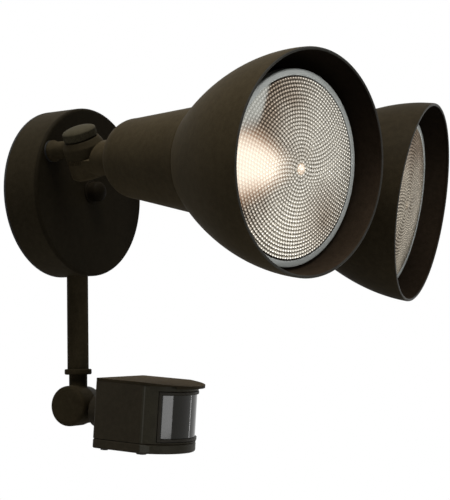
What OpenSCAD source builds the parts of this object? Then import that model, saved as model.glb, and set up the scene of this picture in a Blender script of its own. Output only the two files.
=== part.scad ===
// Twin flood light with a motion sensor, wall mounted, in millimetres.
// Origin: middle of the canopy's back, on the wall. The light points along -Y, +Z is up.

/* [Canopy and wall fixing] */
// outside radius of the round canopy
canopy_r = 61; // [60:1:70]
// depth from the wall to the canopy's front face
canopy_depth = 30; // [29:1:36]
// wall of the canopy
canopy_wall = 1.6; // [1.2:0.1:2.4]
// rounding of the canopy's front edge
canopy_round = 2.4; // [1.8:0.2:4]
// thickness of the foam gasket at the wall
gasket_t = 1.5; // [1:0.5:2.5]
// width of the gasket ring
gasket_w = 3.4; // [3:0.2:4]
// thickness of the steel crossbar
bar_t = 2; // [1.5:0.5:2.5]
// width of the crossbar
bar_w = 16; // [14:1:20]
// distance between the two slots of the crossbar
slot_span = 88.9; // [82.5:0.1:92]
// end-to-end length of a slot
slot_len = 12; // [8:0.5:14]
// width of a slot
slot_w = 4.8; // [4.4:0.1:5.4]
// radius of the threaded centre rod
rod_r = 4.9; // [4:0.1:5]
// radius of the cap nut on the canopy's face
cap_r = 7.2; // [6.6:0.2:9]
// height of the cap nut
cap_h = 11; // [9:0.5:14]

/* [Arms and knuckles] */
// sideways distance of each arm from the middle
arm_x = 45; // [43:0.5:46]
// height of the arms above the middle
arm_z = 25; // [22:0.5:26]
// radius of the arm's round stub
stub_r = 6.2; // [5.8:0.1:6.6]
// radius of the arm's threaded end inside the canopy
thread_r = 4.9; // [4.6:0.1:5.2]
// radius of the shoulder that sits on the canopy
shoulder_r = 7.6; // [7:0.2:8.2]
// distance of the knuckle's pivot from the wall
pivot_out = 59; // [56:0.5:64]
// from the lamp's axis up to the arm's axis, along the pivot
arm_rise = 7; // [6:0.5:8]
// radius of the upper half of the knuckle
knuckle_r = 14.2; // [13.4:0.2:15.4]
// height of the joint face above the lamp's axis
joint_h = 2; // [1:0.5:3]
// height of the knuckle's lower half
lower_h = 15.5; // [14:0.5:17]
// radius of the clamp knob's head
knob_r = 11.8; // [9:0.2:12.6]
// height of the knob's straight rim
knob_h = 5.6; // [4:0.2:7]
// radius of the clamp knob's screw
knob_screw_r = 3; // [2.5:0.1:3.4]
// lean of the left knuckle, top outwards, in degrees
lean_left = 26.7; // [10:0.1:45]
// lean of the right knuckle, top outwards, in degrees
lean_right = 36.5; // [10:0.1:45]
// swing of the left lamp outwards, in degrees
swing_left = 12.3; // [8:0.1:20]
// swing of the right lamp outwards, in degrees
swing_right = 15.3; // [8:0.1:20]
// droop of the lamp's axis below the knuckle's joint face, in degrees
droop = 1.4; // [0:0.1:3]

/* [Lamp holders and hoods] */
// from the pivot to the rounded back of the holder
neck_back = 35.4; // [34:0.2:37]
// free depth for the wires between the holder's back and the socket
wire_space = 7.7; // [5.7:0.2:12]
// from the lamp's skirt to the joint of holder and hood
hood_start = 21.9; // [20.9:0.2:23]
// outside radius of the holder where its rounding ends
neck_back_r = 27; // [26:0.5:29]
// outside radius of the holder at the hood
neck_front_r = 35.4; // [34:0.1:36]
// rounding of the holder's back
neck_round = 18; // [14:1:20]
// wall of the holder
holder_wall = 2; // [1.6:0.1:2.6]
// radius of the boss between knuckle and holder
boss_r = 12; // [10:0.2:12.4]
// outside radius of the hood's rim
rim_r = 68.6; // [67.8:0.1:72]
// wall of the hood
hood_wall = 1.6; // [1.3:0.1:1.8]
// how soon the hood flares: a higher value flares earlier
hood_flare = 1.92; // [1.8:0.02:2.2]

/* [Lamps and sockets] */
// radius of the lamp's front glass
lens_r = 59.8; // [58:0.1:60]
// from the hood's rim back to the lamp's front glass
lens_inset = 16.2; // [13:0.1:16.6]
// width of the plain ring around the stippled glass
lens_ring_w = 4.8; // [3:0.2:7]
// rise of the stippled glass in the middle
lens_rise = 5.6; // [3:0.2:7]
// depth of the front glass at its edge
lens_edge = 6.2; // [5.5:0.1:7]
// from the front glass to the lamp's tip
lamp_len = 131.8; // [130:0.1:134]
// sag of the lamp and its socket below the hood's axis, in degrees
lamp_sag = 1.9; // [0:0.1:2]
// radius of the lamp's screw base
base_r = 13.2; // [13:0.1:13.3]
// pitch of the lamp's thread
base_pitch = 3.63; // [3.4:0.01:3.8]
// radius of the lamp's metal skirt
skirt_r = 19.6; // [19:0.1:20.4]
// outside radius of the sealing ring on the skirt
seal_r = 24; // [22:0.5:25]
// outside radius of the socket body
socket_r = 18.5; // [17.5:0.1:19]

/* [Sensor tube and knuckle] */
// where the sensor tube stands, as a share of the canopy's depth
tube_share = 0.55; // [0.5:0.01:0.56]
// outside radius of the sensor tube
tube_r = 7.7; // [7.2:0.1:8.2]
// wall of the sensor tube
tube_wall = 1.7; // [1.2:0.1:2]
// height of the tube's lower end, below the middle
tube_end = 129; // [120:1:140]
// radius of the collar ring
collar_r = 9.8; // [9:0.1:11]
// height of the collar ring below the tube's end
collar_h = 3; // [2.6:0.2:4]
// how far the collar ring laps over the tube's end
collar_lap = 1; // [0.8:0.2:2]
// radius of the sensor's neck
sneck_r = 6.5; // [6:0.1:6.7]
// from the tube's end down to the sensor's pivot
sensor_drop = 25.2; // [24:0.2:30]
// radius of the sensor's knuckle
sknuckle_r = 14.4; // [13:0.2:15]
// thickness of the knuckle's outer half
scup_t = 15; // [10:0.5:16]
// thickness of the knuckle's inner half
slug_t = 12; // [9:0.5:14]
// turn of the sensor to the right, in degrees
sensor_pan = 5; // [-30:1:30]
// tilt of the sensor downwards, in degrees
sensor_tilt = 4.75; // [-5:0.25:30]

/* [Sensor head] */
// from the pivot to the back of the sensor's housing
head_back = 34; // [30:0.5:40]
// height of the housing's top above the pivot
head_top = 23.7; // [22:0.1:28]
// height of the whole sensor head
head_h = 48.5; // [47:0.5:54]
// half of the sensor head's width
head_half = 32; // [30:0.5:34]
// length of the head's flat side
head_side = 39.4; // [37:0.1:44]
// bulge of the curved front
head_bulge = 20; // [18:0.5:22]
// wall of the sensor housing
head_wall = 2; // [1.6:0.1:2.4]
// height of the base cover below the seam
cover_h = 6.8; // [6:0.2:8]
// thickness of the lid
lid_t = 2; // [1.6:0.1:2.6]
// how far the visor stands out over the window
visor_out = 5.5; // [3:0.5:8]
// half angle of the window, in degrees
window_a = 43.5; // [36:0.5:45]
// height of the window
window_h = 30; // [26:0.5:30]
// from the top of the head down to the window
window_drop = 8.2; // [8:0.1:10]
// width of the window's frame
bezel_w = 2.1; // [1.6:0.1:2.2]
// radius of the setting dials
dial_r = 4; // [3:0.1:4.4]
// how far the dials stand out below the cover
dial_out = 3; // [2:0.2:4]
// sideways distance of the dials from the middle
dial_x = 18; // [14:0.5:19]

/* [Hidden] */
$fn = 96;
// running gap between parts that move on each other
gap = 0.3;
// gap between fixed parts that sit in each other
snug = 0.1;
// faces that are cut through go this far past the solid
cut = 1;
inner_r = canopy_r - canopy_wall;
face_t = canopy_wall + 0.2;
nut_t = 3.2;
washer_t = 1;
tube_out = tube_share * canopy_depth;
knuckle_top = joint_h + 11.5;
lower_end = joint_h - lower_h;
upper_wall = 6.9;
upper_top_r = knuckle_r - 2.2;
lower_r = knuckle_r - 0.4;
teeth = 30;
knob_floor = knuckle_top + 0.9;
spigot_len = 4;
spigot_r = neck_front_r - hood_wall - gap;
spigot_in_r = spigot_r - holder_wall;
contact_room = 10.5;
reach = neck_back + holder_wall + wire_space + contact_room + lamp_len + lens_inset;
lens_front = reach - lens_inset;
lens_back = lens_front - lens_edge;
tip = lens_front - lamp_len;
base_start = tip + 4.5;
base_end = base_start + 19;
skirt_start = base_end + 4;
skirt_end = skirt_start + 13;
hood_back = skirt_end + hood_start;
sag_at = base_end - 8;
glass_t = 2.6;
lens_wall = 3.6;
glass_neck_r = skirt_r - 0.6;
socket_back = tip - contact_room;
socket_floor = tip - 2;
socket_mouth = base_end - 0.5;
shell_r = base_r + 0.5;
shell_t = 0.5;
flange_t = 4.5;
capsule_r = 6;
capsule_end = skirt_end + 0.55 * (lens_back - skirt_end);
stem_r = 7.4;
pivot_z = -(tube_end + sensor_drop);
front_r = (head_half * head_half + head_bulge * head_bulge) / (2 * head_bulge);
front_c = head_back + head_side + head_bulge - front_r;
visor_b = head_bulge + visor_out;
visor_r = (head_half * head_half + visor_b * visor_b) / (2 * visor_b);
visor_c = head_back + head_side + visor_b - visor_r;
head_bot = head_top - head_h;
seam = head_bot + cover_h;
win_top = head_top - window_drop;
win_bot = win_top - window_h;
bezel_a = window_a + 3.4;
link_r = 11.6;
link_z = -2;
link_back = sknuckle_r + 1.5;
board_t = 1.6;
board_v = front_c + 2;
can_r = 4.1;
shelf = win_bot - 1;
pot_h = 5;
dial_v = front_c + 8.2;
post_x = head_half - 7;
post_v = head_back + 6;
post_r = 3.4;
web_len = head_half - post_x - 1;
screw_r = 1.4;

function steps(n) = [for (i = [0:n]) i / n];
// outside radius of the hood; t runs from 0 at the holder to 1 at the rim, where it ends level
function hood_r(t) = neck_front_r + (rim_r - neck_front_r) * (1 - pow(1 - t, hood_flare));
function hood_d(t) = hood_back + (reach - hood_back) * t;
// reflector's outside, as shares of the way from its neck to the front glass
reflector_shape = [[0, 0], [0.11, 0.03], [0.2, 0.1], [0.31, 0.22], [0.42, 0.42], [0.5, 0.55],
    [0.6, 0.67], [0.71, 0.76], [0.83, 0.86], [0.94, 0.95], [1, 1]];
function reflector_pt(p, t) = [
    glass_neck_r + (lens_r - glass_neck_r) * p[1] - t,
    skirt_end + (lens_back - skirt_end) * p[0]
];

// left is -1 and right is 1; the frame's Z runs along the knuckle's pivot
module at_arm(side) {
    lean = side < 0 ? lean_left : lean_right;
    translate([side * arm_x, -pivot_out, arm_z])
    rotate([0, side * lean, 0])
    children();
}

// Z points out of the lamp's hood, from the knuckle's pivot
module at_lamp(side) {
    swing = side < 0 ? swing_left : swing_right;
    at_arm(side)
    translate([0, 0, -arm_rise])
    rotate([0, 0, side * swing])
    rotate([90 + droop, 0, 0])
    children();
}

// Z points out of the lamp, which hangs a little low in its socket
module at_bulb(side) {
    at_lamp(side)
    translate([0, 0, sag_at])
    rotate([lamp_sag, 0, 0])
    translate([0, 0, -sag_at])
    children();
}

// Z along the knuckle's pivot, turned with the lamp
module at_pivot(side) {
    swing = side < 0 ? swing_left : swing_right;
    at_arm(side)
    translate([0, 0, -arm_rise])
    rotate([0, 0, side * swing])
    children();
}

// Z points out from the wall, at the middle of the canopy
module at_wall() {
    rotate([90, 0, 0])
    children();
}

// sensor neck: turns with the pan only
module at_neck() {
    translate([0, -tube_out, pivot_z])
    rotate([0, 0, sensor_pan])
    children();
}

// sensor head: -Y points out of the window
module at_head() {
    at_neck()
    rotate([sensor_tilt, 0, 0])
    children();
}

// a cylinder from z = a to z = b
module rod(r, a, b) {
    translate([0, 0, a])
    cylinder(r = r, h = b - a);
}

// a tube from z = a to z = b
module pipe(r_out, r_in, a, b) {
    difference() {
        rod(r_out, a, b);
        rod(r_in, a - cut, b + cut);
    }
}

// a hexagonal nut from z = a to z = b
module hex_nut(across, bore, a, b) {
    difference() {
        translate([0, 0, a])
        cylinder(r = across / sqrt(3), h = b - a, $fn = 6);
        rod(bore, a - cut, b + cut);
    }
}

module canopy() {
    color([0.2, 0.17, 0.14])
    difference() {
        at_wall()
        rotate_extrude()
        union() {
            translate([inner_r, gasket_t])
            square([canopy_wall, canopy_depth - canopy_round - gasket_t]);
            translate([0, canopy_depth - face_t])
            square([canopy_r - canopy_round, face_t]);
            difference() {
                intersection() {
                    translate([canopy_r - canopy_round, canopy_depth - canopy_round])
                    circle(r = canopy_round);
                    translate([canopy_r - canopy_round, canopy_depth - canopy_round])
                    square(canopy_round);
                }
                translate([canopy_r - canopy_round - cut, canopy_depth - canopy_round - cut])
                square([canopy_round + cut - canopy_wall, canopy_round + cut - face_t]);
            }
        }
        at_wall()
        rod(rod_r + gap, canopy_depth - face_t - cut, canopy_depth + cut);
        for (side = [-1, 1])
            translate([side * arm_x, 0, arm_z])
            at_wall()
            rod(thread_r + gap, canopy_depth - face_t - cut, canopy_depth + cut);
        translate([0, -tube_out, 0])
        rod(tube_r + snug, -canopy_r - cut, -inner_r / 2);
    }
}

module gasket() {
    color([0.1, 0.1, 0.1])
    at_wall()
    pipe(canopy_r, canopy_r - gasket_w, 0, gasket_t);
}

module crossbar() {
    bar_len = slot_span + slot_len + 10;
    color([0.7, 0.7, 0.72])
    at_wall()
    difference() {
        translate([-bar_len / 2, -bar_w / 2, 0])
        cube([bar_len, bar_w, bar_t]);
        rod(rod_r + snug, -cut, bar_t + cut);
        translate([slot_span / 4, 0, 0])
        rod(2 + snug, -cut, bar_t + cut);
        for (side = [-1, 1])
            translate([side * slot_span / 2, 0, 0]) {
                translate([-(slot_len - slot_w) / 2, -slot_w / 2, -cut])
                cube([slot_len - slot_w, slot_w, bar_t + 2 * cut]);
                for (end = [-1, 1])
                    translate([end * (slot_len - slot_w) / 2, 0, 0])
                    rod(slot_w / 2, -cut, bar_t + cut);
            }
    }
}

module ground_screw() {
    color([0.2, 0.5, 0.25])
    at_wall()
    translate([slot_span / 4, 0, 0])
    difference() {
        union() {
            rod(2, 0, bar_t);
            rod(4.2, bar_t, bar_t + 2.4);
        }
        translate([-5, -0.5, bar_t + 1.4])
        cube([10, 1, 2]);
    }
}

module centre_rod() {
    color([0.75, 0.68, 0.4])
    at_wall()
    rod(rod_r, 0, canopy_depth + cap_h - 4);
}

module rod_nut() {
    color([0.7, 0.7, 0.72])
    at_wall()
    hex_nut(14.3, rod_r + snug, bar_t, bar_t + 4);
}

module cap_nut() {
    color([0.15, 0.13, 0.11])
    translate([0, -canopy_depth, 0])
    at_wall()
    difference() {
        union() {
            rod(cap_r + 1.2, 0, 1.4);
            rod(cap_r, 0, cap_h - 3);
            intersection() {
                translate([0, 0, cap_h - 3])
                cylinder(r = cap_r, h = 3);
                translate([0, 0, cap_h - (cap_r * cap_r + 9) / 6])
                sphere(r = (cap_r * cap_r + 9) / 6);
            }
        }
        rod(rod_r + snug, -cut, cap_h - 3.6);
    }
}

module arm_locknuts() {
    color([0.7, 0.7, 0.72])
    for (side = [-1, 1])
        translate([side * arm_x, -canopy_depth + face_t, arm_z])
        at_wall()
        hex_nut(thread_r * 2 + 3.4, thread_r + gap, -nut_t, 0);
}

module arm_washers() {
    color([0.12, 0.12, 0.12])
    for (side = [-1, 1])
        translate([side * arm_x, -canopy_depth, arm_z])
        at_wall()
        pipe(shoulder_r, thread_r + gap, 0, washer_t);
}

// upper half of the knuckle with the stub through the canopy
module arm(side) {
    seat = canopy_depth + washer_t + 0.2;
    inside = canopy_depth - face_t - nut_t - 6;
    color([0.2, 0.17, 0.14])
    at_arm(side)
    difference() {
        union() {
            translate([0, pivot_out, 0])
            at_wall() {
                rod(thread_r, inside, seat + cut);
                rod(stub_r, seat, pivot_out - 6);
                rod(shoulder_r, seat, seat + 2);
                translate([0, 0, seat + 2])
                cylinder(r1 = shoulder_r, r2 = stub_r, h = 1.6);
            }
            translate([0, 0, joint_h + gap / 2 - arm_rise])
            cylinder(r = knuckle_r, h = upper_wall);
            translate([0, 0, joint_h + gap / 2 - arm_rise + upper_wall])
            cylinder(r1 = knuckle_r, r2 = upper_top_r, h = knuckle_top - joint_h - upper_wall - gap / 2);
        }
        rod(knuckle_r + gap, -2 * knuckle_r, joint_h + gap / 2 - arm_rise);
        rod(knob_screw_r + gap, -2 * knuckle_r, 2 * knuckle_r);
        translate([0, pivot_out, 0])
        at_wall()
        rod(thread_r - 1.5, inside - cut, pivot_out - knuckle_r);
    }
}

module knob(side) {
    dome = 2.4;
    dome_r = (knob_r * knob_r + dome * dome) / (2 * dome);
    color([0.22, 0.19, 0.16])
    at_arm(side)
    translate([0, 0, -arm_rise])
    difference() {
        union() {
            rod(knob_screw_r, joint_h - 10, knob_floor);
            rod(knob_r * 0.62, knuckle_top + 0.2, knob_floor + cut);
            rod(knob_r, knob_floor, knob_floor + knob_h);
            intersection() {
                rod(knob_r, knob_floor + knob_h, knob_floor + knob_h + dome);
                translate([0, 0, knob_floor + knob_h + dome - dome_r])
                sphere(r = dome_r);
            }
        }
        for (i = [0:23])
            rotate([0, 0, i * 15])
            translate([knob_r + 0.55, 0, 0])
            rod(0.9, knob_floor - cut, knob_floor + knob_h - 0.8);
    }
}

// the holder's inside, used for the hollow and for what fits in it
module holder_hollow() {
    in_round = neck_round - holder_wall;
    rotate_extrude()
    union() {
        translate([0, neck_back + holder_wall])
        square([neck_back_r - neck_round, neck_round]);
        intersection() {
            translate([neck_back_r - neck_round, neck_back + neck_round])
            circle(r = in_round);
            translate([neck_back_r - neck_round, neck_back + holder_wall])
            square([in_round, in_round]);
        }
        polygon([
            [0, neck_back + neck_round],
            [neck_back_r - holder_wall, neck_back + neck_round],
            [spigot_in_r, hood_back + spigot_len + cut],
            [0, hood_back + spigot_len + cut]
        ]);
    }
}

// radius of the holder's inside in front of its rounded back
function hollow_r(d) = let (
    a = neck_back + neck_round,
    b = hood_back + spigot_len + cut,
    r = neck_back_r - holder_wall
) r + (spigot_in_r - r) * (d - a) / (b - a);

// neck casting: lower half of the knuckle, boss, rounded back and tapered neck
module holder(side) {
    color([0.21, 0.18, 0.15])
    difference() {
        union() {
            at_lamp(side) {
                rod(boss_r, 0, neck_back + holder_wall + 1);
                rotate_extrude()
                union() {
                    translate([0, neck_back])
                    square([neck_back_r - neck_round, neck_round]);
                    intersection() {
                        translate([neck_back_r - neck_round, neck_back + neck_round])
                        circle(r = neck_round);
                        translate([neck_back_r - neck_round, neck_back])
                        square([neck_round, neck_round]);
                    }
                    polygon([
                        [0, neck_back + neck_round],
                        [neck_back_r, neck_back + neck_round],
                        [neck_front_r, hood_back],
                        [spigot_r, hood_back],
                        [spigot_r, hood_back + spigot_len],
                        [0, hood_back + spigot_len]
                    ]);
                }
            }
            at_pivot(side) {
                rod(lower_r, lower_end + 2, joint_h - gap / 2);
                translate([0, 0, lower_end])
                cylinder(r1 = lower_r - 2, r2 = lower_r, h = 2);
            }
        }
        at_lamp(side) {
            holder_hollow();
            rod(boss_r * 0.4, knuckle_r, neck_back + neck_round);
        }
        at_pivot(side) {
            rod(knuckle_r + 2 * gap, joint_h - gap / 2, 3 * knuckle_r);
            rod(knob_screw_r + gap, joint_h - 11, joint_h + cut);
            for (i = [0:teeth - 1])
                rotate([0, 0, i * 360 / teeth])
                translate([lower_r - 0.6, -0.6, joint_h - gap / 2 - 3.2])
                cube([2, 1.2, 4]);
        }
    }
}

module hood(side) {
    n = 18;
    color([0.23, 0.2, 0.17])
    at_lamp(side)
    rotate_extrude()
    polygon(concat(
        [for (t = steps(n)) [hood_r(t), hood_d(t)]],
        [for (t = steps(n)) [hood_r(1 - t) - hood_wall, hood_d(1 - t)]]
    ));
}

module socket_body(side) {
    color([0.9, 0.88, 0.84])
    at_bulb(side)
    difference() {
        union() {
            rod(socket_r, socket_back, socket_mouth);
            rod(hollow_r(socket_mouth - flange_t) - 3 * gap, socket_mouth - flange_t, socket_mouth);
        }
        rod(shell_r + shell_t + snug, socket_floor, socket_mouth + cut);
    }
}

module socket_shell(side) {
    color([0.8, 0.66, 0.35])
    at_bulb(side)
    pipe(shell_r + shell_t, shell_r, tip + 0.5, socket_mouth - 0.5);
}

module socket_contact(side) {
    color([0.85, 0.7, 0.38])
    at_bulb(side) {
        rod(7, socket_floor, socket_floor + 0.8);
        rod(4, socket_floor + 0.8, tip - gap);
    }
}

module lamp_seal(side) {
    color([0.15, 0.15, 0.15])
    at_bulb(side)
    pipe(seal_r, skirt_r + gap, skirt_start + 3, skirt_end - 2);
}

module lamp_base(side) {
    turns = 5;
    root = base_r - 0.7;
    bore = base_r - 1.4;
    color([0.75, 0.75, 0.77])
    at_bulb(side)
    rotate_extrude()
    polygon(concat(
        [[bore, base_start]],
        [for (i = [0:turns - 1], p = [[0, 0], [0.7, 0.3], [0.7, 0.5], [0, 0.8]])
            [root + p[0], base_start + (i + p[1]) * base_pitch]],
        [
            [root, base_end],
            [skirt_r, skirt_start],
            [skirt_r, skirt_end],
            [skirt_r - 0.5, skirt_end],
            [skirt_r - 0.5, skirt_start + 0.4],
            [bore, base_end + 0.6]
        ]
    ));
}

module lamp_tip(side) {
    color([0.12, 0.12, 0.13])
    at_bulb(side) {
        rod(4.8, tip, tip + 2);
        translate([0, 0, tip + 2])
        cylinder(r1 = 6, r2 = base_r - 1.5, h = 2.5);
        rod(base_r - 1.5, tip + 4.5, tip + 9);
    }
}

module lamp_reflector(side) {
    n = len(reflector_shape) - 1;
    color([0.85, 0.87, 0.9])
    at_bulb(side)
    difference() {
        rotate_extrude()
        polygon(concat(
            [[0, skirt_end - 9], [glass_neck_r, skirt_end - 9]],
            [for (p = reflector_shape) reflector_pt(p, 0)],
            [for (i = [0:n]) reflector_pt(reflector_shape[n - i], glass_t)],
            [[0, skirt_end + 0.5]]
        ));
        rod(stem_r + snug, skirt_end - 10, skirt_end + 2);
    }
}

module lamp_capsule(side) {
    color([0.95, 0.93, 0.85])
    at_bulb(side) {
        rod(stem_r, skirt_end - 9, skirt_end + 8);
        rod(capsule_r, skirt_end + 8, capsule_end);
        translate([0, 0, capsule_end])
        sphere(r = capsule_r);
    }
}

module lamp_lens(side) {
    field_r = lens_r - lens_ring_w;
    dome_r = (field_r * field_r + lens_rise * lens_rise) / (2 * lens_rise);
    color([0.75, 0.8, 0.85])
    at_bulb(side)
    difference() {
        union() {
            rod(lens_r, lens_back, lens_front - 1.5);
            translate([0, 0, lens_front - 1.5])
            cylinder(r1 = lens_r, r2 = lens_r - 1.2, h = 1.5);
            intersection() {
                rod(lens_r, lens_front - 0.5, lens_front + lens_rise + cut);
                translate([0, 0, lens_front + lens_rise - dome_r])
                sphere(r = dome_r);
            }
        }
        intersection() {
            rod(field_r - 1, lens_back - cut, lens_front + lens_rise);
            translate([0, 0, lens_front + lens_rise - dome_r - lens_wall])
            sphere(r = dome_r);
        }
    }
}

module sensor_tube() {
    color([0.2, 0.17, 0.14])
    translate([0, -tube_out, 0])
    pipe(tube_r, tube_r - tube_wall, -tube_end, -inner_r + 8);
}

module tube_locknut() {
    across = 2 * tube_r + 3.6;
    sag = inner_r - sqrt(inner_r * inner_r - across * across / 3);
    color([0.7, 0.7, 0.72])
    translate([0, -tube_out, -inner_r + sag + 0.4])
    hex_nut(across, tube_r + snug, 0, nut_t);
}

// ring nut on the tube's end; it holds the sensor's neck
module sensor_collar() {
    edge = 0.8;
    color([0.2, 0.17, 0.14])
    translate([0, -tube_out, -tube_end])
    difference() {
        translate([0, 0, -collar_h])
        union() {
            translate([0, 0, edge])
            cylinder(r = collar_r, h = collar_h - 2 * edge + collar_lap);
            cylinder(r1 = collar_r - edge, r2 = collar_r, h = edge);
            translate([0, 0, collar_h - edge + collar_lap])
            cylinder(r1 = collar_r, r2 = collar_r - edge, h = edge);
        }
        rod(tube_r + snug, 0, collar_h + cut);
        rod(sneck_r + gap, -collar_h - cut, cut);
    }
}

// neck and outer half of the sensor's knuckle
module sensor_neck() {
    edge = 3;
    spigot = tube_r - tube_wall - gap;
    color([0.21, 0.18, 0.15])
    at_neck()
    difference() {
        union() {
            rod(spigot, 0, sensor_drop + 12);
            rod(sneck_r, 0, sensor_drop - gap);
            rotate([0, -90, 0])
            rotate_extrude()
            union() {
                square([sknuckle_r, scup_t - edge]);
                square([sknuckle_r - edge, scup_t]);
                intersection() {
                    translate([sknuckle_r - edge, scup_t - edge])
                    circle(r = edge);
                    translate([sknuckle_r - edge, scup_t - edge])
                    square(edge);
                }
            }
        }
        translate([-gap / 2, 0, 0])
        rotate([0, 90, 0])
        rod(sknuckle_r - 0.3, 0, 2 * sknuckle_r);
        rotate([0, -90, 0])
        rod(2.8, -cut, scup_t - 4);
        rod(sneck_r - 3, sknuckle_r + 2, sensor_drop + 12 + cut);
    }
}

module sensor_clamp_screw() {
    color([0.6, 0.6, 0.62])
    at_neck()
    rotate([0, 90, 0])
    difference() {
        union() {
            rod(2.5, -(scup_t - 6), slug_t + 1);
            rod(4.8, slug_t + 0.3, slug_t + 3.2);
        }
        for (a = [0, 90])
            rotate([0, 0, a])
            translate([-3, -0.5, slug_t + 2])
            cube([6, 1, 2]);
    }
}

// outline of the head seen from above, v runs forward from the pivot
module head_outline(inset) {
    v0 = head_back + inset;
    half = head_half - inset;
    r = front_r - inset;
    side_end = front_c + sqrt(r * r - half * half);
    union() {
        translate([-half, -side_end])
        square([2 * half, side_end - v0]);
        intersection() {
            translate([0, -front_c])
            circle(r = r);
            translate([-half, -front_c - r - cut])
            square([2 * half, front_c + r + cut - v0]);
        }
    }
}

// a curved slab around the centre of the head's round front
module front_slab(r_in, r_out, a, z0, z1) {
    translate([0, -front_c, z0])
    rotate([0, 0, -90 - a])
    rotate_extrude(angle = 2 * a)
    translate([r_in, 0])
    square([r_out - r_in, z1 - z0]);
}

module sensor_housing() {
    color([0.25, 0.22, 0.19])
    at_head()
    difference() {
        union() {
            difference() {
                translate([0, 0, seam])
                linear_extrude(head_top - lid_t - seam)
                head_outline(0);
                translate([0, 0, seam - cut])
                linear_extrude(head_top - lid_t - seam + 2 * cut)
                head_outline(head_wall);
            }
            for (side = [-1, 1])
                translate([side * post_x, -post_v, 0])
                rod(post_r, seam, seam + 12);
            for (side = [-1, 1])
                translate([side * head_half - (side > 0 ? 1 + web_len : -1), -post_v - 1.5, seam])
                cube([web_len, 3, 12]);
            translate([0, 0, link_z])
            rotate([90, 0, 0])
            rod(link_r, link_back, head_back + head_wall / 2);
            translate([gap / 2, 0, 0])
            rotate([0, 90, 0])
            rod(sknuckle_r - 1, 0, slug_t - gap / 2);
            translate([gap / 2, -link_back - 2, link_z - 8])
            cube([slug_t - gap, link_back + 2, 15]);
        }
        front_slab(front_r - head_wall - cut, front_r + cut, bezel_a + 0.4,
            win_bot - bezel_w - 0.3, win_top + bezel_w + 0.3);
        rotate([0, 90, 0])
        rod(2.8, -cut, slug_t + cut);
        for (side = [-1, 1])
            translate([side * post_x, -post_v, 0])
            rod(screw_r + snug, seam - cut, seam + 10);
    }
}

module sensor_lid() {
    drop = 1.6;
    nose = front_c + front_r;
    span = head_bulge + visor_out;
    color([0.3, 0.26, 0.2])
    at_head()
    difference() {
        union() {
            translate([0, 0, head_top - lid_t])
            linear_extrude(lid_t)
            union() {
                head_outline(0);
                intersection() {
                    translate([0, -visor_c])
                    circle(r = visor_r);
                    translate([-head_half, -visor_c - visor_r - cut])
                    square([2 * head_half, 2 * visor_r]);
                }
            }
            translate([-head_half + head_wall + gap, -head_back - head_side, head_top - lid_t - 1.5])
            cube([2 * (head_half - head_wall - gap), head_side - head_wall - gap, 1.5]);
            intersection() {
                translate([0, 0, head_top - lid_t - drop])
                linear_extrude(drop)
                difference() {
                    translate([0, -visor_c])
                    circle(r = visor_r);
                    translate([0, -visor_c])
                    circle(r = visor_r - 1.6);
                }
                translate([-20, -nose - visor_out - cut, 0])
                cube([40, visor_out + cut, 2 * head_top]);
            }
        }
        translate([0, -(nose - head_bulge), head_top])
        rotate([atan(drop / span), 0, 0])
        translate([-2 * head_half, -3 * span, 0])
        cube([4 * head_half, 3 * span, 10]);
    }
}

module sensor_cover() {
    color([0.24, 0.21, 0.18])
    at_head()
    difference() {
        translate([0, 0, head_bot])
        linear_extrude(cover_h)
        head_outline(0);
        translate([0, 0, head_bot + head_wall])
        linear_extrude(cover_h)
        head_outline(head_wall);
        for (side = [-1, 1]) {
            translate([side * dial_x, -dial_v, 0])
            rod(dial_r + gap, head_bot - cut, seam);
            translate([side * post_x, -post_v, 0])
            rod(screw_r + snug, head_bot - cut, seam);
        }
    }
}

module sensor_bezel() {
    color([0.2, 0.19, 0.18])
    at_head()
    difference() {
        front_slab(front_r - head_wall, front_r + 0.4, bezel_a, win_bot - bezel_w, win_top + bezel_w);
        front_slab(front_r - head_wall - cut, front_r + cut, window_a, win_bot, win_top);
    }
}

module sensor_lens() {
    color([0.2, 0.2, 0.22])
    at_head()
    front_slab(front_r - head_wall + 0.2, front_r - head_wall + 1.2, window_a - 0.2,
        win_bot + snug, win_top - snug);
}

// upright board behind the window and the shelf that carries the setting controls
module sensor_board() {
    half = head_half - head_wall - gap;
    color([0.1, 0.35, 0.2])
    at_head()
    union() {
        translate([-half, -board_v, shelf])
        cube([2 * half, board_t, head_top - lid_t - 3 - shelf]);
        translate([-half, -front_c - 15, shelf - board_t])
        cube([2 * half, 15 + front_c - post_v - post_r - 2, board_t]);
    }
}

module heat_detector() {
    color([0.8, 0.8, 0.82])
    at_head()
    translate([0, 0, (win_top + win_bot) / 2])
    rotate([90, 0, 0]) {
        rod(can_r + 0.5, board_v, board_v + 0.6);
        rod(can_r, board_v + 0.6, board_v + 4);
    }
}

module setting_controls() {
    color([0.2, 0.3, 0.6])
    at_head()
    for (side = [-1, 1])
        translate([side * dial_x - 4.5, -dial_v - 4.5, shelf - board_t - pot_h])
        cube([9, 9, pot_h]);
}

module dial(side) {
    top = shelf - board_t - pot_h - gap;
    color([0.12, 0.12, 0.12])
    at_head()
    translate([side * dial_x, -dial_v, 0])
    difference() {
        union() {
            rod(dial_r, head_bot - dial_out, head_bot + head_wall + 0.5);
            rod(1.6, head_bot + head_wall, top);
        }
        translate([-dial_r - cut, -0.6, head_bot - dial_out - cut])
        cube([2 * dial_r + 2 * cut, 1.2, cut + 1]);
    }
}

module cover_screws() {
    color([0.6, 0.6, 0.62])
    at_head()
    for (side = [-1, 1])
        translate([side * post_x, -post_v, 0])
        difference() {
            union() {
                rod(screw_r, head_bot, seam + 8);
                rod(2.6, head_bot - 1.3, head_bot);
            }
            translate([-3, -0.35, head_bot - 2])
            cube([6, 0.7, 1.3]);
        }
}

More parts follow.
